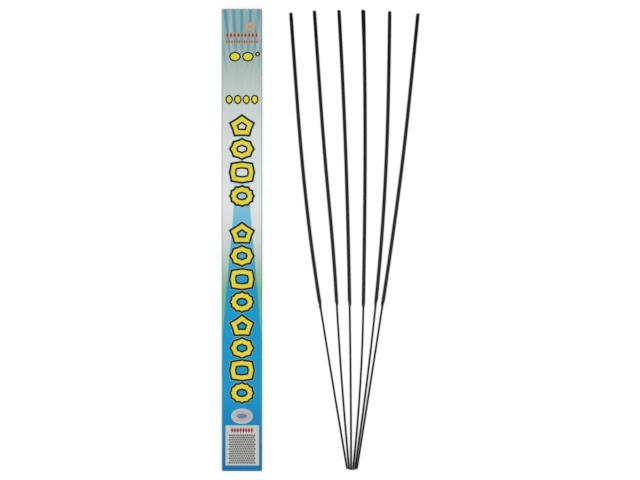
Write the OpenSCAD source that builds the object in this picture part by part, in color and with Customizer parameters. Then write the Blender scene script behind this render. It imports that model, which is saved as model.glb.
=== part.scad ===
// Set of hand-held sparklers: a flat printed carton, lying on its back, and six sparklers
// beside it, fanned out from their handles. Everything rests on one surface, tips towards +Y.

/* [Sparklers] */
// Length of each sparkler, from the cut end of its handle to its tip
sparkler_l = 914; // [800:1:1000]
// Length of the bare wire that serves as the handle
handle_l = 324; // [290:1:400]
// Diameter of the steel wire
wire_d = 3.5; // [2.6:0.1:3.9]
// Diameter of the hard coating round the wire
coat_d = 6.4; // [5.4:0.1:8]
// Length over which the coating's foot swells out from the wire
foot_l = 12; // [6:1:20]
// Thickness of the coating at the very start of its foot
foot_lip = 0.5; // [0.3:0.1:0.7]
// Length of solid coating beyond the end of the wire
tip_l = 3; // [2.6:0.1:8]
// Radius that rounds the edge of the blunt tip
tip_r = 2.2; // [1:0.1:2.4]
// Space between the wire and the coating that is set hard on it
bond_gap = 0.05; // [0.02:0.01:0.1]
// Space between neighbouring handles at their cut ends
handle_gap = 0.2; // [0.2:0.05:2]

/* [Carton] */
// Width of the carton across its front
carton_w = 79; // [60:1:120]
// Depth of the carton from its front to its back
carton_d = 16; // [14:0.5:30]
// Thickness of the cardboard
board = 0.5; // [0.3:0.05:0.8]
// Space left where one board folds over or lies on another
fold_gap = 0.3; // [0.2:0.05:0.5]
// Space in the closed carton beyond each end of the sparklers
end_slack = 0.2; // [0:0.1:4]
// Width of the glued strip that joins the side panel to the back panel
seam_w = 14; // [8:1:25]
// Length of the tongue that tucks in behind each lid
tuck_l = 10; // [6:0.5:12]
// Distance of the tongue's ends from the carton's sides
tuck_inset = 3; // [2:0.5:10]
// Reach of each dust flap inwards from its side panel
flap_l = 12; // [8:0.5:14]
// Drop of a dust flap's upper edge below the front of the carton
flap_drop = 1; // [1:0.1:1.5]

/* [Layout] */
// Space between the carton and the nearest sparkler
set_gap = 54.5; // [10:0.5:120]

/* [Hidden] */
SPARKLERS = 6;

// Flats around a wire or a coating, even steps along each bent stretch of it, and the angle
// between the rings that round its tip
SIDES = 12;
STEPS = 4;
TIP_STEP = 30;

carton_colour = "lightskyblue";
closure_colour = "steelblue";
board_colour = "gainsboro";
wire_colour = "dimgray";
coating_colour = "darkslategray";

// How each sparkler lies, left to right, in degrees: its lean to the right at the cut end,
// then how far it turns to the right over its handle and over the lower, the middle and the
// upper third of its coating
lies = [
    [-9.65, 0.6, 2.7, 2.1, 0.3],
    [-5.3, 2.0, -2.2, 1.4, 0.3],
    [0.0, -1.0, -0.6, -0.9, -0.8],
    [6.3, -5.3, -0.4, -0.9, -1.5],
    [8.5, -2.6, -2.4, -2.1, -0.8],
    [9.1, -0.4, -1.0, -1.8, -0.3]
];
steepest_lean = max([for (lie = lies) abs(lie[0])]);
// How far each sparkler lies ahead of the row of cut ends
ahead_shares = [0.002, 0.001, 0, 0, 0.001, 0.002];

coat_r = coat_d / 2;
bore_r = wire_d / 2 + bond_gap;
third_l = (sparkler_l - handle_l - foot_l - tip_l) / 3;
// A sparkler rests on its coating, so its axis lies half a coating above the surface
axis_z = coat_r;
handle_pitch = (wire_d + handle_gap) / cos(steepest_lean);

// The lengths of a sparkler's stretches, from its cut end up: the handle, the coating's foot,
// its lower, middle and upper third, and its solid tip
STRETCHES = ["handle", "foot", "lower", "middle", "upper", "tip"];
stretch_ls = [handle_l, foot_l, third_l, third_l, third_l, tip_l];
FOOT = search(["foot"], STRETCHES)[0];
LOWER = search(["lower"], STRETCHES)[0];
UPPER = search(["upper"], STRETCHES)[0];
TIP = search(["tip"], STRETCHES)[0];

// How far sparkler i turns over each of its stretches; the foot and the tip are straight
function turns(i) = [lies[i][1], 0, lies[i][2], lies[i][3], lies[i][4], 0];

// The lean of sparkler i where its stretch k starts
function lean(i, k) = k == 0 ? lies[i][0] : lean(i, k - 1) + turns(i)[k - 1];

// The straight line across a stretch that bends evenly
function chord(l, turn) = turn == 0 ? l : l * sin(turn / 2) * 360 / (PI * turn);

// Where stretch k of sparkler i starts, seen from the middle of the row of cut ends
function start(i, k) = k == 0
    ? along([(i - (SPARKLERS - 1) / 2) * handle_pitch, 0],
        lies[i][0], ahead_shares[i] * sparkler_l, 0)
    : along(start(i, k - 1), lean(i, k - 1), stretch_ls[k - 1], turns(i)[k - 1]);

// The point reached from p, with this lean at p, over a stretch of length l that turns so far
function along(p, lean, l, turn) =
    p + chord(l, turn) * [sin(lean + turn / 2), cos(lean + turn / 2)];

// Carton and fan stand side by side with the middle of the whole set at the origin
fan_left = min([for (i = [0 : SPARKLERS - 1]) start(i, TIP).x]) - coat_r;
fan_right = max([for (i = [0 : SPARKLERS - 1]) start(i, TIP).x]) + coat_r;
set_w = carton_w + set_gap + fan_right - fan_left;
carton_x = (carton_w - set_w) / 2;
fan_x = set_w / 2 - fan_right;
fan_reach = max([for (i = [0 : SPARKLERS - 1]) start(i, TIP).y]) + tip_l;
fan_y = -fan_reach / 2;

// The closed carton holds the sparklers between its two lids and the flaps behind them
carton_l = sparkler_l + 2 * (board + fold_gap + board + end_slack);
inner_w = carton_w - 2 * board;
inner_d = carton_d - 2 * board;
// The front and back panel stop behind the lid's board, the side panels behind the flap's, and
// the glued strip ahead of the tongues
front_l = carton_l - 2 * (board + fold_gap);
side_l = front_l - 2 * (board + fold_gap);
seam_l = carton_l - 2 * (board + tuck_l + fold_gap);
// Height of the lid's plate below its crease
lid_h = carton_d - board - fold_gap;
// The tongue's tilt, with a lead over the steepness at which its end keeps to the circle of
// the lid's lower edge, so that it swings out with the lid; both in degrees
tuck_lead = 4;
tuck_tilt = asin(tuck_l / 2 / lid_h) + tuck_lead;
// The flaps stay above the ring that the tongue sweeps; both their edges taper inwards
tuck_rise = lid_h * (1 - cos(tuck_tilt)) + board;
flap_low = carton_d - lid_h + tuck_rise + 2 * fold_gap;
flap_high = carton_d - flap_drop;
flap_top_slope_share = 0.45;
flap_low_slope_share = 0.2;

// The ring of points round sparkler i at distance d into its stretch k, at radius r
function ring(i, k, d, r) =
    let (
        turn = turns(i)[k] * d / stretch_ls[k],
        p = along(start(i, k), lean(i, k), d, turn),
        here = lean(i, k) + turn
    )
    [for (s = [0 : SIDES - 1]) let (a = s * 360 / SIDES) [
        fan_x + p.x + r * cos(a) * cos(here),
        fan_y + p.y - r * cos(a) * sin(here),
        axis_z + r * sin(a)
    ]];

// The rings of radius r from the start of one stretch to the end of another, before the tip
function rings(i, first, last, r) = concat(
    [for (k = [first : last], s = [0 : STEPS - 1]) ring(i, k, s * stretch_ls[k] / STEPS, r)],
    [ring(i, last, stretch_ls[last], r)]
);

function backwards(list) = [for (n = [len(list) - 1 : -1 : 0]) list[n]];

// A closed skin over a list of rings, capped at its first and its last ring
module skin(rings) {
    last = (len(rings) - 1) * SIDES;
    polyhedron(
        points = [for (r = rings) each r],
        faces = concat(
            [[for (s = [SIDES - 1 : -1 : 0]) s]],
            [for (n = [0 : SIDES : last - SIDES], s = [0 : SIDES - 1])
                let (next = (s + 1) % SIDES)
                each [[n + s, n + next, n + SIDES + next], [n + s, n + SIDES + next, n + SIDES + s]]],
            [[for (s = [0 : SIDES - 1]) last + s]]
        )
    );
}

// The steel wire of sparkler i, from its cut end up to the solid tip of its coating
module wire(i) {
    color(wire_colour) skin(rings(i, 0, UPPER, wire_d / 2));
}

// The hard grey coating of sparkler i: its bore from the top down, the thin lip of its foot,
// its outside up to the tip, and the tip's rounded edge
module coating(i) {
    color(coating_colour) skin(concat(
        backwards(rings(i, FOOT, UPPER, bore_r)),
        [ring(i, FOOT, 0, bore_r + foot_lip)],
        rings(i, LOWER, UPPER, coat_r),
        [for (a = [0 : TIP_STEP : 90])
            ring(i, TIP, tip_l - tip_r * (1 - sin(a)), coat_r - tip_r * (1 - cos(a)))]
    ));
}

// A flat board of the carton, size [x, y, z], centred on the carton's middle in X and Y
module carton_board(size, z) {
    translate([carton_x - size.x / 2, -size.y / 2, z]) cube(size);
}

module front_panel() {
    color(carton_colour) carton_board([carton_w, front_l, board], carton_d - board);
}

module back_panel() {
    color(board_colour) carton_board([carton_w, front_l, board], 0);
}

// A side panel between front and back; side is -1 for the left and 1 for the right
module side_panel(side) {
    color(carton_colour)
        translate([side * (carton_w - board) / 2, 0, 0])
            carton_board([board, side_l, inner_d], board);
}

// The strip inside, folded from the left side panel and glued down on the back panel
module glue_seam() {
    color(board_colour)
        translate([(seam_w - inner_w) / 2, 0, 0]) carton_board([seam_w, seam_l, board], board);
}

// Places its child, made for the top end, at that end (1) or turned over to the bottom (-1)
module at_end(end) {
    translate([carton_x, end * carton_l / 2, 0])
        if (end > 0) children();
        else mirror([0, 1, 0]) children();
}

// The lid's plate, hinged along the end of the front panel and closed over the carton's end
module lid(end) {
    color(closure_colour) at_end(end)
        translate([-carton_w / 2, -board, carton_d - lid_h]) cube([carton_w, board, lid_h]);
}

// The tongue along the lid's lower edge, tucked in above the back panel and tilted upwards
// about its upper edge there
module tuck_tongue(end) {
    tuck_w = carton_w - 2 * tuck_inset;
    color(board_colour) at_end(end)
        translate([-tuck_w / 2, -board - fold_gap, carton_d - lid_h + board])
            rotate([-tuck_tilt, 0, 0])
                translate([0, -tuck_l, -board]) cube([tuck_w, tuck_l, board]);
}

// A dust flap, folded in from the end of a side panel, just behind the lid
module dust_flap(end, side) {
    flap_y = -board - fold_gap;
    outline = [
        [0, flap_low],
        [0, flap_high],
        [-flap_l, flap_high - flap_l * flap_top_slope_share],
        [-flap_l, flap_low + flap_l * flap_low_slope_share]
    ];
    color(board_colour) at_end(end)
        mirror([side > 0 ? 0 : 1, 0, 0])
            translate([carton_w / 2, flap_y, 0]) rotate([90, 0, 0])
                linear_extrude(board) polygon(outline);
}

front_panel();
back_panel();
side_panel(-1);  // left_side_panel
side_panel(1);  // right_side_panel
glue_seam();
lid(1);  // top_lid
tuck_tongue(1);  // top_tuck_tongue
dust_flap(1, -1);  // top_left_dust_flap
dust_flap(1, 1);  // top_right_dust_flap
lid(-1);  // bottom_lid
tuck_tongue(-1);  // bottom_tuck_tongue
dust_flap(-1, -1);  // bottom_left_dust_flap
dust_flap(-1, 1);  // bottom_right_dust_flap
for (i = [0 : SPARKLERS - 1]) {
    wire(i);
    coating(i);
}
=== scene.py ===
"""The looks of a sparkler set: a flat printed carton and six long sparklers fanned out beside it."""
import itertools
import math

import bmesh
import bpy
import numpy as np
from mathutils import Matrix, Vector, noise


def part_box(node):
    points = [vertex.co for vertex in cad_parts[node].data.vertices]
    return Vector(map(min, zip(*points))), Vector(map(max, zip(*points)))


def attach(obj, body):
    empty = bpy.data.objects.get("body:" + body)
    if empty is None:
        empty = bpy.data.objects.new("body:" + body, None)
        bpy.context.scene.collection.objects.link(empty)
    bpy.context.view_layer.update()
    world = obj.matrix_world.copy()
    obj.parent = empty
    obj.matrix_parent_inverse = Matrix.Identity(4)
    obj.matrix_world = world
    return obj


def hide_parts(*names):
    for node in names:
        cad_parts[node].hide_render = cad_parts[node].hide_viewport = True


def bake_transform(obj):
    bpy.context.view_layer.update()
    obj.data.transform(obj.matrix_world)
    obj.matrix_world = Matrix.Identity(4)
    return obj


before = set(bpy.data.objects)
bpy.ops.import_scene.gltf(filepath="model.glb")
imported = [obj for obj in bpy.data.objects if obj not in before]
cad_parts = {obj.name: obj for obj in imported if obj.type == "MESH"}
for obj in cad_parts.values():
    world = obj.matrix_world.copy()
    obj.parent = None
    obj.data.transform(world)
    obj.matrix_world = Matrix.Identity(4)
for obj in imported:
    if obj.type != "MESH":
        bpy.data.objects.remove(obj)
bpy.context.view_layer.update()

mm = 0.001  # lengths are in metres


# The carton's sleeve: one long sheet of white-lined board, printed and varnished on its outside.
# It is creased into the back, the right side, the front and the left side, and a strip beyond
# the left side is glued down inside on the back.
board_t = 0.5 * mm
crease_r = 0.8 * mm
ink_room = 0.16 * mm  # the printed front lies this much lower than the CAD's, with its ink above
carton_low, carton_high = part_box("front_panel")
carton_left, carton_right = carton_low.x, carton_high.x
carton_x = (carton_left + carton_right) / 2
carton_half = (carton_right - carton_left) / 2
front_z = carton_high.z - ink_room
front_end = carton_high.y
side_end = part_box("left_side_panel")[1].y
strip_low, strip_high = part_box("glue_seam")
lid_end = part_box("top_lid")[1].y


def shade(red, green, blue):
    """A colour written as it is seen, 0 to 255, in the linear values that a shader takes"""
    seen = [c / 255 for c in (red, green, blue)]
    return [c / 12.92 if c < 0.04045 else ((c + 0.055) / 1.055) ** 2.4 for c in seen] + [1]


class Finish:
    """A material that is put together node by node on Object coordinates, in metres"""

    def __init__(self, name):
        self.material = bpy.data.materials.new(name)
        self.material.use_nodes = True
        self.nodes = self.material.node_tree.nodes
        self.links = self.material.node_tree.links
        self.shader = self.nodes["Principled BSDF"]
        self.place = self.nodes.new("ShaderNodeTexCoord").outputs["Object"]

    def set(self, **values):
        """Values that are the same all over, on the shader's own sockets"""
        for name, value in values.items():
            self.shader.inputs[name.replace("_", " ")].default_value = value

    def feed(self, source, socket):
        """A pattern, or a plain value, for a socket"""
        if isinstance(source, bpy.types.NodeSocket):
            self.links.new(source, socket)
        else:
            socket.default_value = source

    def show(self, socket_name, source):
        self.links.new(source, self.shader.inputs[socket_name])

    def moved(self, at=(0, 0, 0), scale=(1, 1, 1)):
        """Object coordinates measured from a point, then stretched"""
        shift = self.nodes.new("ShaderNodeVectorMath")
        shift.operation = "SUBTRACT"
        self.links.new(self.place, shift.inputs[0])
        shift.inputs[1].default_value = at
        stretch = self.nodes.new("ShaderNodeVectorMath")
        stretch.operation = "MULTIPLY"
        self.links.new(shift.outputs[0], stretch.inputs[0])
        stretch.inputs[1].default_value = scale
        return stretch.outputs[0]

    def grain(self, size, stretch=(1, 1, 1), detail=2.0):
        """Noise whose lumps are about as large as size, from 0 to 1"""
        cloud = self.nodes.new("ShaderNodeTexNoise")
        self.links.new(self.moved(scale=[s / size for s in stretch]), cloud.inputs["Vector"])
        cloud.inputs["Scale"].default_value = 1
        cloud.inputs["Detail"].default_value = detail
        return cloud.outputs["Fac"]

    def maths(self, operation, first, second=0.0):
        node = self.nodes.new("ShaderNodeMath")
        node.operation = operation
        for socket, source in zip(node.inputs, (first, second)):
            self.feed(source, socket)
        return node.outputs[0]

    def between(self, value, low, high, from_share=0.0, to_share=1.0, smooth=True):
        """from_share where value is low, to_share where it is high, held beyond them"""
        node = self.nodes.new("ShaderNodeMapRange")
        node.interpolation_type = "SMOOTHSTEP" if smooth else "LINEAR"
        for socket, source in zip(node.inputs, (value, low, high, from_share, to_share)):
            self.feed(source, socket)
        return node.outputs[0]

    def mixed(self, share, first, second):
        """The first colour, and the second where share is 1"""
        node = self.nodes.new("ShaderNodeMix")
        node.data_type = "RGBA"
        colour_mix = (node.inputs[0], node.inputs[6], node.inputs[7])
        for socket, source in zip(colour_mix, (share, first, second)):
            self.feed(source, socket)
        return node.outputs[2]

    def graded(self, value, stops):
        """Colours along a value, from (position, colour) stops"""
        node = self.nodes.new("ShaderNodeValToRGB")
        ramp = node.color_ramp
        while len(ramp.elements) < len(stops):
            ramp.elements.new(1)
        for element, (position, colour) in zip(ramp.elements, stops):
            element.position = position
            element.color = colour
        self.links.new(value, node.inputs[0])
        return node.outputs[0]

    def rough_skin(self, height, depth):
        """Small unevenness of the surface, depth high"""
        node = self.nodes.new("ShaderNodeBump")
        node.inputs["Distance"].default_value = depth
        self.links.new(height, node.inputs["Height"])
        self.show("Normal", node.outputs[0])


def make_printed_board():
    finish = Finish("printed_board")
    apart = finish.nodes.new("ShaderNodeSeparateXYZ")
    finish.links.new(finish.moved(at=(carton_x, -lid_end, 0)), apart.inputs[0])
    across, up, depth = apart.outputs
    whole_l = 2 * lid_end
    share_up = finish.maths("DIVIDE", up, whole_l)
    # The ground: green-grey at the top, silver, then green at the sides and blue at the foot
    deep_blue = shade(6, 108, 161)
    sky_blue = shade(4, 147, 197)
    leaf_green = shade(112, 175, 134)
    silver = shade(222, 225, 224)
    dull_silver = shade(204, 210, 208)
    grey_green = shade(142, 168, 156)
    ground = finish.graded(share_up, [
        (0.05, deep_blue),
        (0.17, sky_blue),
        (0.245, sky_blue),
        (0.31, leaf_green),
        (0.39, leaf_green),
        (0.5, dull_silver),
        (0.585, silver),
        (0.76, dull_silver),
        (0.94, grey_green),
    ])
    beam = finish.graded(share_up, [
        (0.05, deep_blue),
        (0.17, sky_blue),
        (0.4, sky_blue),
        (0.56, shade(112, 183, 211)),
        (0.66, dull_silver),
    ])
    # The beam fades in below its start and widens downwards until it fills the front
    beam_start, beam_clear, beam_widens, beam_full = 0.67, 0.6, 0.56, 0.283
    beam_top_half, beam_soft = 17 * mm, 1.2 * mm
    beam_half = finish.between(
        share_up, beam_widens, beam_full, beam_top_half, carton_half, smooth=False
    )
    off_axis = finish.maths("ABSOLUTE", across)
    past_edge = finish.maths("SUBTRACT", off_axis, beam_half)
    in_beam = finish.between(past_edge, -beam_soft, beam_soft, 1.0, 0.0)
    beam_fade = finish.between(share_up, beam_start, beam_clear)
    in_beam = finish.maths("MULTIPLY", in_beam, beam_fade)
    colour = finish.mixed(in_beam, ground, beam)
    # Rays at the top run together towards the beam's start and fade on their way
    ray_turn = 0.0554  # from one ray to the next, as a slope
    ray = finish.maths("DIVIDE", across, finish.maths("SUBTRACT", up, beam_start * whole_l))
    wave = finish.maths("COSINE", finish.maths("MULTIPLY", ray, 2 * math.pi / ray_turn))
    in_ray = finish.between(wave, -0.15, 0.6)
    fade = finish.between(share_up, 0.845, 0.96)
    in_ray = finish.maths("MULTIPLY", in_ray, fade)
    colour = finish.mixed(in_ray, colour, shade(78, 146, 176))
    # Faint cold and warm streaks along the silver part of the sheet
    in_silver = finish.between(share_up, 0.45, 0.7)
    for size, tint in ((4 * mm, shade(150, 186, 206)), (6 * mm, shade(226, 214, 208))):
        streaks = finish.grain(size, stretch=(1, 0.05, 0.1))
        streaks = finish.between(streaks, 0.5, 0.75, 0.0, 0.25)
        colour = finish.mixed(finish.maths("MULTIPLY", streaks, in_silver), colour, tint)
    # Along the creases, where two of the carton's faces meet, the print is darkened by painted
    # shade, and in places worn down to the board
    shade_and_wear_starts, shade_and_wear_full = 1.8 * mm, 0.3 * mm
    near_faces = []
    for place, middle, half in (
        (across, 0, carton_half), (up, lid_end, lid_end), (depth, front_z / 2, front_z / 2)
    ):
        off_middle = finish.maths("ABSOLUTE", finish.maths("SUBTRACT", place, middle))
        near_faces.append(finish.between(off_middle, half - shade_and_wear_starts, half - shade_and_wear_full))
    meetings = [finish.maths("MINIMUM", *pair) for pair in itertools.combinations(near_faces, 2)]
    near_crease = finish.maths("MAXIMUM", finish.maths("MAXIMUM", *meetings[:2]), meetings[2])
    # Painted shade: along the creases the print is mixed towards a dark grey-blue
    painted_crease_shade = finish.maths("MULTIPLY", near_crease, 0.45)
    colour = finish.mixed(painted_crease_shade, colour, shade(70, 92, 104))
    scuffs = finish.between(finish.grain(1.4 * mm, stretch=(1, 0.25, 1), detail=4), 0.6, 0.68)
    worn = finish.maths("MULTIPLY", finish.between(near_crease, 0.55, 1.0), scuffs)
    colour = finish.mixed(finish.maths("MULTIPLY", worn, 0.7), colour, shade(222, 220, 212))
    finish.show("Base Color", colour)
    finish.show("Roughness", finish.between(finish.grain(9 * mm), 0.3, 0.7, 0.34, 0.46))
    finish.rough_skin(finish.grain(0.5 * mm, detail=3), 0.03 * mm)
    finish.set(Specular_IOR_Level=0.15, Coat_Weight=0.03, Coat_Roughness=0.25)
    return finish.material


def make_bare_board():
    finish = Finish("bare_board")
    fibres = finish.grain(0.6 * mm, stretch=(1, 0.2, 1), detail=4)
    colour = finish.mixed(fibres, shade(176, 170, 158), shade(206, 202, 192))
    flecks = finish.between(finish.grain(0.9 * mm, stretch=(0.3, 1, 1), detail=3), 0.68, 0.74)
    colour = finish.mixed(finish.maths("MULTIPLY", flecks, 0.6), colour, shade(120, 108, 92))
    finish.show("Base Color", colour)
    finish.show("Roughness", finish.between(fibres, 0.2, 0.8, 0.82, 0.95))
    finish.rough_skin(fibres, 0.06 * mm)
    finish.set(Specular_IOR_Level=0.2)
    return finish.material


printed_board = make_printed_board()
bare_board = make_bare_board()


def new_piece(name, bm, *materials):
    """A finished mesh as an object at the origin"""
    mesh = bpy.data.meshes.new(name)
    bm.to_mesh(mesh)
    bm.free()
    for material in materials:
        mesh.materials.append(material)
    piece = bpy.data.objects.new(name, mesh)
    bpy.context.scene.collection.objects.link(piece)
    return piece


def verts_of(made):
    """The vertices among what an operator has made"""
    return [v for v in made["geom"] if isinstance(v, bmesh.types.BMVert)]


edge_gap = 0.1 * mm  # the back's own edge stops this much short of the left side
level_slack = 0.01 * mm
sleeve = bmesh.new()
fold_line = [
    (carton_left + edge_gap, 0),
    (carton_right, 0),
    (carton_right, front_z),
    (carton_left, front_z),
    (carton_left, strip_low.z),
    (strip_high.x, strip_low.z),
]
corners = [sleeve.verts.new((x, -front_end, z)) for x, z in fold_line]
for here, following in zip(corners, corners[1:]):
    sleeve.edges.new((here, following))
bmesh.ops.bevel(
    sleeve, geom=corners[1:-1], offset=crease_r, offset_type="OFFSET", segments=4,
    profile=0.5, affect="VERTICES", material=-1,
)
drawn = bmesh.ops.extrude_edge_only(sleeve, edges=sleeve.edges[:])
bmesh.ops.translate(sleeve, verts=verts_of(drawn), vec=(0, 2 * front_end, 0))
for v in sleeve.verts:
    end = math.copysign(1, v.co.y)
    # The sides end a little short of the front and back, eased over the rounded corners
    round_corner = 1 - (carton_half - abs(v.co.x - carton_x)) / crease_r
    v.co.y = end * (front_end - (front_end - side_end) * max(round_corner, 0))
    on_strip = v.co.x < carton_x and abs(v.co.z - strip_low.z) < level_slack
    if on_strip:
        v.co.y = end * strip_high.y
bmesh.ops.recalc_face_normals(sleeve, faces=sleeve.faces[:])
highest = max(sleeve.faces, key=lambda face: face.calc_center_median().z)
if highest.normal.z < 0:
    bmesh.ops.reverse_faces(sleeve, faces=sleeve.faces[:])
sleeve = new_piece("carton_sleeve", sleeve, printed_board, bare_board)
walls = sleeve.modifiers.new("board", "SOLIDIFY")
walls.thickness = board_t
walls.offset = -1
walls.use_even_offset = True
walls.material_offset = 1
walls.material_offset_rim = 1
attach(sleeve, "carton")
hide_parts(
    "front_panel", "back_panel", "left_side_panel", "right_side_panel", "glue_seam"
)


# The lids and their creases: each end of the front panel runs on over a rounded crease into a
# lid, and the lid runs on over a second crease into a tongue with rounded corners, which is
# tucked in behind the back panel.
lid_face = lid_end - ink_room
lid_fold_r = lid_face - front_end
lid_foot = 1.7 * mm
fold_r = 0.7 * mm
tongue_low, tongue_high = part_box("top_tuck_tongue")
tongue_pivot = Vector((carton_x, tongue_high.y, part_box("top_lid")[0].z + board_t))
tongue_l = 10 * mm
tongue_tilt = math.asin((tongue_high.z - tongue_low.z - board_t * 0.92) / tongue_l)
tongue_corner_r = 3 * mm
flap_corner_r = 1.5 * mm
flap_low_slope, flap_top_slope = 0.2, 0.45  # rise of the tapered edges over the flap's length
edge_soft = 0.1 * mm
sharp_edge = 1.2  # radians between the faces of an edge that is softened
crease_t = 0.2 * mm  # board is pressed thinner along its creases
crease_inset = 0.5 * mm  # the lid's crease ends where the sleeve's corners are rounded


def at_end(end):
    """Turns what is made for the top end over to the bottom where end is -1"""
    return Matrix.Diagonal((1, end, 1, 1))


def board_plate(name, outline, round_corners, corner_r, place, outside):
    """A flat piece of board: outline in its own plane, thickness downwards, then put in place"""
    bm = bmesh.new()
    verts = [bm.verts.new((x, y, 0)) for x, y in outline]
    bm.faces.new(verts)
    bmesh.ops.recalc_face_normals(bm, faces=bm.faces[:])
    if round_corners:
        bmesh.ops.bevel(
            bm, geom=[verts[n] for n in round_corners], offset=corner_r, offset_type="OFFSET",
            segments=5, profile=0.5, affect="VERTICES", material=-1,
        )
    pressed = bmesh.ops.extrude_face_region(bm, geom=bm.faces[:])
    bmesh.ops.translate(bm, verts=verts_of(pressed), vec=(0, 0, -board_t))
    bmesh.ops.recalc_face_normals(bm, faces=bm.faces[:])
    rims = [e for e in bm.edges if e.calc_face_angle(0) > sharp_edge]
    bmesh.ops.bevel(
        bm, geom=rims, offset=edge_soft, offset_type="OFFSET", segments=2,
        profile=0.5, affect="EDGES", material=-1,
    )
    for face in bm.faces:
        face.material_index = 0 if face.normal.z > 0.9 else 1
    bmesh.ops.transform(bm, matrix=place, verts=bm.verts)
    bmesh.ops.recalc_face_normals(bm, faces=bm.faces[:])
    return new_piece(name, bm, outside, bare_board)


def board_fold(name, line, centre, axis, angle, place, outside):
    """A crease: the outer edge line of a board swung about the crease's middle"""
    centre, axis = Vector(centre), Vector(axis)

    def outward(point):
        """Straight out to a point from the crease's middle line"""
        from_centre = point - centre
        return from_centre - axis * from_centre.dot(axis)

    bm = bmesh.new()
    ends = [bm.verts.new(point) for point in line]
    edge = bm.edges.new(ends)
    bmesh.ops.spin(
        bm, geom=[*ends, edge], cent=centre, axis=axis, angle=angle, steps=6,
        use_duplicate=False,
    )
    for face in bm.faces:
        face.normal_update()
        if face.normal.dot(outward(face.calc_center_median())) < 0:
            face.normal_flip()
    inside = bmesh.ops.duplicate(bm, geom=bm.faces[:] + bm.edges[:] + bm.verts[:])
    inner_faces = [f for f in inside["geom"] if isinstance(f, bmesh.types.BMFace)]
    for v in verts_of(inside):
        v.co -= outward(v.co).normalized() * crease_t
    bmesh.ops.reverse_faces(bm, faces=inner_faces)
    rims = [e for e in bm.edges if e.is_boundary]
    bmesh.ops.bridge_loops(bm, edges=rims)
    for face in bm.faces:
        face.normal_update()
        out = outward(face.calc_center_median())
        face.material_index = 0 if face.normal.dot(out) > 0.5 * out.length else 1
    bmesh.ops.transform(bm, matrix=place, verts=bm.verts)
    bmesh.ops.recalc_face_normals(bm, faces=bm.faces[:])
    return new_piece(name, bm, outside, bare_board)


tongue_half = (tongue_high.x - tongue_low.x) / 2
lid_w_cut = tongue_half + 0.3 * mm  # the lid's lower corners are cut away beside the tongue
lid_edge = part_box("top_lid")[0].z
for end_name, end in (("top", 1), ("bottom", -1)):
    lid_outline = [
        (-carton_half, front_z - lid_fold_r - lid_foot),
        (carton_half, front_z - lid_fold_r - lid_foot),
        (carton_half, lid_edge - lid_foot),
        (lid_w_cut, lid_edge - lid_foot),
        (lid_w_cut, 0),
        (-lid_w_cut, 0),
        (-lid_w_cut, lid_edge - lid_foot),
        (-carton_half, lid_edge - lid_foot),
    ]
    upright = Matrix.Translation((carton_x, lid_face, lid_foot)) @ Matrix(
        ((1, 0, 0, 0), (0, 0, 1, 0), (0, 1, 0, 0), (0, 0, 0, 1))
    )
    lid = board_plate(
        f"{end_name}_lid_plate", lid_outline, (), 0, at_end(end) @ upright, printed_board
    )
    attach(lid, f"{end_name}_lid")
    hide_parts(f"{end_name}_lid")

    lid_fold = board_fold(
        f"{end_name}_lid_crease",
        [
            (carton_left + crease_inset, front_end, front_z),
            (carton_right - crease_inset, front_end, front_z),
        ],
        (carton_x, front_end, front_z - lid_fold_r), (1, 0, 0), -math.pi / 2,
        at_end(end), printed_board,
    )
    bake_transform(lid_fold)

    tongue_outline = [
        (-tongue_half, -tongue_l),
        (tongue_half, -tongue_l),
        (tongue_half, 0),
        (-tongue_half, 0),
    ]
    tilted = Matrix.Translation(tongue_pivot) @ Matrix.Rotation(-tongue_tilt, 4, "X")
    tongue = board_plate(
        f"{end_name}_tongue_plate", tongue_outline, (0, 1), tongue_corner_r,
        at_end(end) @ tilted, bare_board,
    )
    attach(tongue, f"{end_name}_tongue")
    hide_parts(f"{end_name}_tuck_tongue")

    tongue_fold = board_fold(
        f"{end_name}_tongue_crease",
        [
            (carton_x - tongue_half, lid_face, lid_foot),
            (carton_x + tongue_half, lid_face, lid_foot),
        ],
        (carton_x, lid_face - fold_r, lid_foot), (1, 0, 0), -(math.pi / 2 + tongue_tilt),
        at_end(end), printed_board,
    )
    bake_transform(tongue_fold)

    # A dust flap, folded in from each side panel behind the lid, with both its edges tapered
    for side_name, side in (("left", -1), ("right", 1)):
        low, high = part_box(f"top_{side_name}_dust_flap")
        flap_l = high.x - low.x
        flap_outline = [
            (crease_r, low.z),
            (flap_l, low.z + flap_low_slope * flap_l),
            (flap_l, high.z - flap_top_slope * flap_l),
            (crease_r, high.z),
        ]
        turned = Matrix.Translation((carton_x + side * carton_half, high.y, 0)) @ Matrix(
            ((-side, 0, 0, 0), (0, 0, 1, 0), (0, 1, 0, 0), (0, 0, 0, 1))
        )
        flap = board_plate(
            f"{end_name}_{side_name}_flap_plate", flap_outline, (1, 2), flap_corner_r,
            at_end(end) @ turned, bare_board,
        )
        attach(flap, f"{end_name}_{side_name}_flap")
        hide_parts(f"{end_name}_{side_name}_dust_flap")

        edge_x = carton_x + side * carton_half
        flap_fold = board_fold(
            f"{end_name}_{side_name}_flap_crease",
            [(edge_x, high.y - crease_r, low.z), (edge_x, high.y - crease_r, high.z)],
            (edge_x - side * crease_r, high.y - crease_r, low.z), (0, 0, 1), side * math.pi / 2,
            at_end(end), printed_board,
        )
        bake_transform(flap_fold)


# The print's raised marks: solid inks laid thickly on the front, in a column of open yellow
# shapes with near-black edges, smaller ones above, and a pale oval and panel near the foot.
ink_t = 0.05 * mm
ink_depth = 1.2 * ink_t  # it reaches a little into what it is laid on
ink_z = front_z + ink_t


def make_ink(name, light, dark, size=3 * mm):
    finish = Finish(name)
    patches = finish.grain(size, detail=3)
    finish.show("Base Color", finish.mixed(patches, shade(*dark), shade(*light)))
    finish.show("Roughness", finish.between(patches, 0.3, 0.7, 0.36, 0.48))
    finish.set(Specular_IOR_Level=0.12)
    return finish.material


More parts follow.
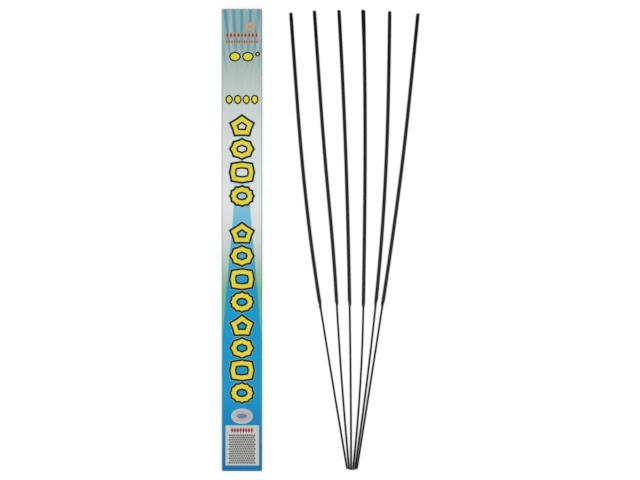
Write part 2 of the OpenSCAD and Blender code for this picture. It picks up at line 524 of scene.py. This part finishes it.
yellow_ink = make_ink("yellow_ink", (232, 220, 80), (204, 190, 28), 6 * mm)
black_ink = make_ink("black_ink", (10, 18, 4), (2, 8, 0))
halo_ink = make_ink("halo_ink", (160, 206, 218), (140, 192, 206))
peach_ink = make_ink("peach_ink", (196, 166, 124), (164, 146, 114), 2 * mm)
red_ink = make_ink("red_ink", (164, 54, 62), (134, 56, 70), 1.5 * mm)
pale_ink = make_ink("pale_ink", (204, 204, 198), (182, 184, 180), 2 * mm)
grey_ink = make_ink("grey_ink", (70, 72, 74), (42, 46, 50), 1.5 * mm)
blue_ink = make_ink("blue_ink", (110, 130, 170), (90, 112, 158), 1.5 * mm)
inks = [yellow_ink, black_ink, halo_ink, peach_ink, red_ink, pale_ink, grey_ink, blue_ink]
YELLOW, BLACK, HALO, PEACH, RED, PALE, GREY, BLUE = range(len(inks))


def lay_shape(bm, at, size, arms, waist, bands, inner, level=0):
    """A shape of ink, at a place on the front measured from the carton's middle. It has arms
    points, one of them upwards, and waist is its radius between them as a share of that at the
    points. bands are (width, ink) from its edge inwards, and inner is the ink of what is left,
    or None for a hole."""
    made = bmesh.ops.create_circle(bm, cap_ends=True, segments=arms * 2, radius=1)
    verts = made["verts"]
    face = verts[0].link_faces[0]
    for v in verts:
        if round((math.atan2(v.co.y, v.co.x) - math.pi / 2) * arms / math.pi) % 2:
            v.co *= waist
    low = Vector((min(v.co.x for v in verts), min(v.co.y for v in verts), 0))
    high = Vector((max(v.co.x for v in verts), max(v.co.y for v in verts), 0))
    bmesh.ops.translate(bm, verts=verts, vec=-(low + high) / 2)
    stretch = (size[0] / (high.x - low.x), size[1] / (high.y - low.y), 1)
    bmesh.ops.scale(bm, verts=verts, vec=stretch)
    place = (carton_x + at[0], at[1], ink_z + level * ink_t)
    bmesh.ops.translate(bm, verts=verts, vec=place)
    face.normal_update()
    if face.normal.z < 0:
        face.normal_flip()
    for band_w, ink in bands:
        ring = bmesh.ops.inset_individual(
            bm, faces=[face], thickness=band_w, use_even_offset=True
        )
        for part in ring["faces"]:
            part.material_index = ink
    if inner is None:
        bmesh.ops.delete(bm, geom=[face], context="FACES_ONLY")
    else:
        face.material_index = inner


def printed(name, bm):
    """Gives laid inks their thickness and puts them on the carton"""
    for face in bm.faces:
        face.normal_update()
        if face.normal.z < 0:
            face.normal_flip()
    pressed = bmesh.ops.extrude_face_region(bm, geom=bm.faces[:], use_keep_orig=True)
    bmesh.ops.translate(bm, verts=verts_of(pressed), vec=(0, 0, -ink_depth))
    bmesh.ops.recalc_face_normals(bm, faces=bm.faces[:])
    piece = new_piece(name, bm, *inks)
    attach(piece, "carton")


# The column: stars, bursts, tiles and rosettes in turn, in a group of four and a group of eight
shapes = [(5, 0.78), (8, 0.88), (4, 1.2), (12, 0.9)]
mark_size = (54 * mm, 46.5 * mm)
mark_heights = [
    227.9, 180.7, 134.4, 87.3, 14.7, -31.5, -77.7, -122.9, -168.6, -214.3, -258.6, -303.3
]
bands = [(0.6 * mm, HALO), (3.9 * mm, BLACK), (8 * mm, YELLOW), (3.4 * mm, BLACK)]
for number, height in enumerate(mark_heights, 1):
    arms, waist = shapes[(number - 1) % len(shapes)]
    mark = bmesh.new()
    lay_shape(mark, (0, height * mm), mark_size, arms, waist, bands, None, level=number % 2)
    printed(f"big_mark_{number}", mark)

# Above it: a row of four small marks, and a line of three in front of the rays
small_edging = [(0.4 * mm, HALO), (2.7 * mm, BLACK)]
row = bmesh.new()
for n, (arms, waist) in enumerate(((4, 0.96), (8, 0.92), (4, 0.96), (8, 0.92))):
    at = ((n - 1.5) * 16.9 * mm, 279 * mm)
    lay_shape(row, at, (16.8 * mm, 20.5 * mm), arms, waist, small_edging, YELLOW)
printed("small_row", row)
line = bmesh.new()
for across, up, size, arms in ((-13.9, 364, 25.3, 8), (11.7, 364, 25.3, 8), (31, 369, 11.5, 4)):
    size = (size * mm, min(size, 21.5) * mm)
    lay_shape(line, (across * mm, up * mm), size, arms, 0.92, small_edging, YELLOW)
printed("top_line", line)

# At the top: a peach burst over two rows of red lozenges
crest = bmesh.new()
burst_at = (15 * mm, 423.6 * mm)
lay_shape(crest, burst_at, (25 * mm, 20 * mm), 14, 0.74, [], PEACH)
lay_shape(
    crest, burst_at, (13 * mm, 10.4 * mm), 14, 1,
    [(0.5 * mm, PALE), (2.4 * mm, PEACH), (0.5 * mm, GREY)], PEACH, level=1,
)
for rows_n, pitch, up, size in ((9, 7.2, 406.5, (7.1, 14)), (13, 5, 393.5, (4.9, 10.5))):
    for n in range(rows_n):
        at = ((n - (rows_n - 1) / 2) * pitch * mm, up * mm)
        lay_shape(crest, at, (size[0] * mm, size[1] * mm), 2, 1, [(0.8 * mm, PEACH)], RED)
printed("crest", crest)

# Near the foot: a pale oval with plain rings, and a pale panel with rows of small lozenges
oval = bmesh.new()
lay_shape(
    oval, (0, -349.5 * mm), (42.5 * mm, 30.5 * mm), 24, 1,
    [
        (2.4 * mm, PALE), (0.5 * mm, RED), (2.4 * mm, PALE), (0.7 * mm, GREY),
        (2 * mm, PALE), (0.6 * mm, GREY), (1.6 * mm, PALE),
    ],
    BLUE,
)
printed("pale_oval", oval)
panel = bmesh.new()
lay_shape(
    panel, (0.7 * mm, -407.4 * mm), (66.6 * mm, 79.7 * mm), 4, math.sqrt(2),
    [(0.7 * mm, HALO)], PALE,
)
printed("pale_panel", panel)
dots = bmesh.new()
for n in range(8):
    at = ((n - 3.5) * 5.6 * mm, -377.4 * mm)
    lay_shape(dots, at, (5.5 * mm, 11.5 * mm), 2, 1, [], RED, level=1)
for row_n in range(13):
    for n in range(15 - row_n % 2):
        at = ((n - (14 - row_n % 2) / 2) * 3.6 * mm, (-387.4 - row_n * 4.56) * mm)
        lay_shape(dots, at, (3.55 * mm, 4.5 * mm), 2, 1, [], GREY, level=1)
printed("panel_rows", dots)


# The sparklers: a straight-drawn steel wire, dipped over two thirds of its length into a thick
# grey paste that dries hard. The paste runs a little unevenly, ends below in a ragged foot and
# above in a blunt tip.
wire_low, wire_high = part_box("wire_1")
axis_z = (wire_low.z + wire_high.z) / 2
wire_r = (wire_high.z - wire_low.z) / 2
coat_r = axis_z
bore_r = wire_r + 0.05 * mm
ring_gap = 1 * mm  # the CAD wire's rings of points lie farther apart than this
foot_at = 324 * mm
tip_l = 3 * mm
wire_sides, coat_sides = 18, 20
wire_step, coat_step, bore_step = 6 * mm, 1.5 * mm, 20 * mm  # from ring to ring
cut_edge = 0.25 * mm


def lie_of(number):
    """How a sparkler lies: distances along it, and the place and lean of its axis at each"""
    points = np.array([v.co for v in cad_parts[f"wire_{number}"].data.vertices])
    points = points[np.argsort(points[:, 1])]
    rings = np.split(points, np.flatnonzero(np.diff(points[:, 1]) > ring_gap) + 1)
    middles = np.array([(ring.min(0) + ring.max(0)) / 2 for ring in rings])
    steps = np.diff(middles[:, :2], axis=0)
    lengths = np.hypot(steps[:, 0], steps[:, 1])
    leans = np.arctan2(steps[:, 0], steps[:, 1])
    ends = np.concatenate(([0], np.cumsum(lengths)))
    halfway = (ends[1:] + ends[:-1]) / 2
    first_lean = leans[0] - (leans[1] - leans[0]) / 2
    last_lean = leans[-1] + (leans[-1] - leans[-2]) / 2
    along = np.arange(0, ends[-1] + 2 * tip_l, 1 * mm)
    lean = np.interp(along, [0, *halfway, ends[-1]], [first_lean, *leans, last_lean])
    mid_lean = (lean[1:] + lean[:-1]) / 2
    x = middles[0, 0] + np.concatenate(([0], np.cumsum(np.sin(mid_lean)))) * mm
    y = middles[0, 1] + np.concatenate(([0], np.cumsum(np.cos(mid_lean)))) * mm
    return along, x, y, lean, ends[-1]


def lay_along(bm, lie):
    """Bends a straight rod, made along Z, so that it lies as the sparkler does"""
    along, xs, ys, leans, _ = lie
    for v in bm.verts:
        side, up, s = v.co
        x, y, lean = np.interp(s, along, xs), np.interp(s, along, ys), np.interp(s, along, leans)
        beyond = min(s, 0)
        v.co = (
            x + side * math.cos(lean) + beyond * math.sin(lean),
            y - side * math.sin(lean) + beyond * math.cos(lean),
            axis_z + max(up, -axis_z),
        )
    # Y and Z have changed places, which turns every face over
    bmesh.ops.reverse_faces(bm, faces=bm.faces[:])


def turned_rod(profile, sides):
    """A rod turned from its half outline, (radius, place along it) from pole to pole"""
    bm = bmesh.new()
    verts = [bm.verts.new((radius, 0, s)) for radius, s in profile]
    edges = [bm.edges.new(pair) for pair in zip(verts, verts[1:])]
    bmesh.ops.spin(
        bm, geom=[*verts, *edges], cent=(0, 0, 0), axis=(0, 0, 1), angle=2 * math.pi,
        steps=sides, use_merge=True, use_duplicate=False,
    )
    bmesh.ops.remove_doubles(bm, verts=bm.verts[:], dist=0.001 * mm)
    bmesh.ops.recalc_face_normals(bm, faces=bm.faces[:])
    return bm


def make_drawn_steel():
    finish = Finish("drawn_steel")
    lines = finish.grain(0.25 * mm, stretch=(1, 0.02, 1), detail=3)
    scale = finish.between(finish.grain(7 * mm, stretch=(1, 0.4, 1), detail=4), 0.45, 0.65)
    bright_lines = finish.between(lines, 0.4, 0.75)
    colour = finish.mixed(bright_lines, shade(7, 7, 8), shade(52, 52, 54))
    colour = finish.mixed(finish.maths("MULTIPLY", scale, 0.7), colour, shade(6, 6, 6))
    finish.show("Base Color", colour)
    finish.show("Roughness", finish.between(lines, 0.2, 0.8, 0.28, 0.44))
    finish.rough_skin(lines, 0.015 * mm)
    finish.set(Metallic=0.9, Specular_IOR_Level=0.1, Specular_Tint=shade(60, 60, 60))
    return finish.material


def make_dried_paste():
    finish = Finish("dried_paste")
    lumps = finish.grain(2.2 * mm, detail=4)
    grit = finish.grain(0.3 * mm, detail=3)
    # The paste is darker towards the tips
    apart = finish.nodes.new("ShaderNodeSeparateXYZ")
    finish.links.new(finish.place, apart.inputs[0])
    upwards = finish.between(apart.outputs["Y"], -0.1, 0.44, smooth=False)
    light = finish.graded(upwards, [
        (0.0, shade(58, 58, 60)),
        (0.7, shade(44, 44, 46)),
        (0.88, shade(26, 26, 28)),
        (1.0, shade(14, 14, 16)),
    ])
    colour = finish.mixed(lumps, shade(6, 6, 8), light)
    glints = finish.between(grit, 0.62, 0.72, 0.0, 0.3)
    colour = finish.mixed(glints, colour, shade(84, 84, 86))
    finish.show("Base Color", colour)
    finish.show("Roughness", finish.between(grit, 0.3, 0.7, 0.86, 0.62))
    both = finish.maths("ADD", finish.maths("MULTIPLY", lumps, 0.6), grit)
    finish.rough_skin(both, 0.12 * mm)
    finish.set(Specular_IOR_Level=0.06)
    return finish.material


drawn_steel = make_drawn_steel()
dried_paste = make_dried_paste()
film = 0.12 * mm  # the paste's least thickness
right_side, left_side = 0, math.pi

# How each foot runs out: the side that reaches lowest, how much later the other side starts,
# the length of its swell, and a drip (place, height, side), in mm
feet = [
    (right_side, 4, 13, (326, 1.1, left_side)),
    (right_side, 6, 9, (334, 0.35, left_side)),
    (right_side, 6, 8, (330, 0.3, right_side)),
    (left_side, 2, 7, (326, 0.6, right_side)),
    (left_side, 8, 12, (341, 0.25, right_side)),
    (left_side, 6, 10, (333, 0.3, left_side)),
]
# How each tip ends: how much higher its right side is, the radius of its rounding, the depth of
# the neck below it, in mm, and how much wider than deep it is
tips = [
    (0.1, 1.7, 0.28, 1.04),
    (-0.7, 2.1, 0.1, 1.0),
    (0.0, 1.9, 0.2, 1.02),
    (-1.3, 1.4, 0.0, 1.2),
    (0.4, 2.3, 0.12, 1.0),
    (1.0, 2.0, 0.1, 1.0),
]


def eased(share):
    """0 to 1 with a soft start and end"""
    share = min(max(share, 0), 1)
    return share * share * (3 - 2 * share)


def paste_radius(number, s, angle, turned, total_l):
    """The dried paste's radius, at a place along a sparkler and an angle round it, from the
    radius that it was turned to"""
    wave_l, lump_l, uneven = 24 * mm, 5 * mm, 0.014
    drip_l, neck_at, neck_l = 2.4 * mm, 6 * mm, 3 * mm
    slow = noise.noise(Vector((s / wave_l, number * 7.3, 0)))
    lump = Vector((math.cos(angle), math.sin(angle) + number * 3, s / lump_l))
    full = turned * min(1, 0.994 + uneven * slow + uneven * noise.noise(lump))
    low_side, later, swell, (drip_at, drip_h, drip_side) = feet[number - 1]
    begins = foot_at + later * mm * (1 - math.cos(angle - low_side)) / 2
    thin = bore_r + film
    radius = thin + (full - thin) * eased((s - begins) / (swell * mm))
    from_drip = (s - drip_at * mm) / drip_l
    round_drip = 0.55 + 0.45 * math.cos(angle - drip_side)
    radius += drip_h * mm * math.exp(-from_drip ** 2) * round_drip
    from_neck = (total_l - neck_at - s) / neck_l
    neck = tips[number - 1][2] * mm
    return radius - neck * math.exp(-from_neck ** 2)


for number in range(1, 7):
    lie = lie_of(number)
    wire_l = lie[-1]
    rings = np.arange(wire_step, wire_l - 2 * mm, wire_step)
    outline = [(0, 0), (wire_r - cut_edge, 0), (wire_r, cut_edge)]
    outline += [(wire_r, s) for s in rings] + [(wire_r, wire_l), (0, wire_l)]
    wire = turned_rod(outline, wire_sides)
    cut_slant = 0.2 if number % 2 else -0.15
    for v in wire.verts:
        if v.co.z < 1 * mm:
            v.co.z += cut_slant * v.co.x
    lay_along(wire, lie)
    wire = new_piece(f"steel_wire_{number}", wire, drawn_steel)
    wire.data.shade_smooth()
    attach(wire, f"sparkler_{number}")
    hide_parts(f"wire_{number}")

    # The paste's half outline: up inside along the wire, and round its foot, up to its tip
    total_l = wire_l + tip_l
    slant, round_r, _, wider = tips[number - 1]
    round_r *= mm
    outline = [(0, wire_l), (bore_r, wire_l)]
    rings = np.arange(wire_l - bore_step, foot_at + 10 * mm, -bore_step)
    outline += [(bore_r, s) for s in rings]
    outline += [(bore_r, foot_at), (bore_r + film, foot_at)]
    straight_end = total_l - round_r
    rings = np.arange(foot_at + 1.2 * mm, straight_end - 0.4 * mm, coat_step)
    outline += [(coat_r, s) for s in rings]
    for turn in np.radians([0, 22, 44, 66]):
        radius = coat_r - round_r * (1 - math.cos(turn))
        outline.append((radius, straight_end + round_r * math.sin(turn)))
    outline += [((coat_r - round_r) * 0.6, total_l), (0, total_l)]
    coat = turned_rod(outline, coat_sides)
    for v in coat.verts:
        side, up, s = v.co
        turned = math.hypot(side, up)
        if turned < bore_r + film / 2 and s < total_l - 0.1 * mm:
            continue
        if turned > 0:
            radius = paste_radius(number, s, math.atan2(up, side), turned, total_l)
            widening = (wider - 1) * eased(1 - (total_l - s) / (90 * mm))
            v.co.x *= radius / turned * (1 + widening)
            v.co.y *= radius / turned
        near_tip = eased(1 - (total_l - s) / (5 * mm))
        v.co.z += near_tip * slant * mm * (v.co.x / coat_r - abs(slant)) * 0.5
    lay_along(coat, lie)
    coat = new_piece(f"grey_coat_{number}", coat, dried_paste)
    coat.data.shade_smooth()
    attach(coat, f"sparkler_{number}")
    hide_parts(f"coating_{number}")


# The table: a white sheet of paper large enough to be seen behind the set from any side. It
# lies just under the set. Wide soft lamps stand high above it, in a white studio.
paper_half = 40
paper_z = -0.05 * mm
paper_level, shade_reach = 0.72, 3.2 * mm


def seen_level(nodes, links):
    """1 for what the camera sees, by itself or in a gloss, and 0 for the light on the set"""
    rays = nodes.new("ShaderNodeLightPath")
    seen = nodes.new("ShaderNodeMath")
    seen.operation = "MAXIMUM"
    links.new(rays.outputs["Is Camera Ray"], seen.inputs[0])
    links.new(rays.outputs["Is Glossy Ray"], seen.inputs[1])
    return seen.outputs[0]


sheet = bmesh.new()
bmesh.ops.create_grid(sheet, x_segments=1, y_segments=1, size=paper_half)
bmesh.ops.translate(sheet, verts=sheet.verts, vec=(0, 0, paper_z))
sheet = new_piece("table_sheet", sheet)
paper = bpy.data.materials.new("white_paper")
paper.use_nodes = True
nodes, links = paper.node_tree.nodes, paper.node_tree.links
body = nodes["Principled BSDF"]
body.inputs["Base Color"].default_value = (0.35, 0.35, 0.35, 1)
body.inputs["Roughness"].default_value = 1
body.inputs["Specular IOR Level"].default_value = 0
glow = nodes.new("ShaderNodeEmission")
level = nodes.new("ShaderNodeMath")
level.operation = "MULTIPLY"
level.inputs[1].default_value = paper_level
links.new(seen_level(nodes, links), level.inputs[0])
# It is shaded close to what lies on it, also between the bunched handles
nearby = nodes.new("ShaderNodeAmbientOcclusion")
nearby.inputs["Distance"].default_value = shade_reach
shaded = nodes.new("ShaderNodeMath")
shaded.operation = "MULTIPLY"
links.new(level.outputs[0], shaded.inputs[0])
links.new(nearby.outputs["AO"], shaded.inputs[1])
links.new(shaded.outputs[0], glow.inputs["Strength"])
both = nodes.new("ShaderNodeAddShader")
links.new(body.outputs[0], both.inputs[0])
links.new(glow.outputs[0], both.inputs[1])
links.new(both.outputs[0], nodes["Material Output"].inputs["Surface"])
sheet.data.materials.append(paper)

world = bpy.data.worlds.new("studio")
bpy.context.scene.world = world
world.use_nodes = True
nodes, links = world.node_tree.nodes, world.node_tree.links
light_level = 0.55
level = nodes.new("ShaderNodeMath")
level.operation = "MULTIPLY_ADD"
level.inputs[1].default_value = 1 - light_level
level.inputs[2].default_value = light_level
links.new(seen_level(nodes, links), level.inputs[0])
nodes["Background"].inputs["Color"].default_value = (1, 1, 1, 1)
links.new(level.outputs[0], nodes["Background"].inputs["Strength"])

for name, strength, tilt, heading in (("key_lamp", 1.2, 35, 30), ("fill_lamp", 0.7, 45, 215)):
    lamp = bpy.data.lights.new(name, "SUN")
    lamp.energy = strength
    lamp.angle = math.radians(40)
    lamp = bpy.data.objects.new(name, lamp)
    lamp.rotation_euler = (math.radians(tilt), 0, math.radians(heading))
    bpy.context.scene.collection.objects.link(lamp)

# The camera looks straight down on the set through a long lens, as the photograph does.
view_w = 1271.9 * mm  # of the ground, from one side of the picture to the other
view_x, view_y = -1.64 * mm, 0.1 * mm
lens_l, film_w = 300, 36
camera = bpy.data.cameras.new("camera")
camera.lens = lens_l
camera = bpy.data.objects.new("camera", camera)
camera.location = (view_x, view_y, view_w * lens_l / film_w)
bpy.context.scene.collection.objects.link(camera)
bpy.context.scene.camera = camera
bpy.context.scene.view_settings.view_transform = "Standard"
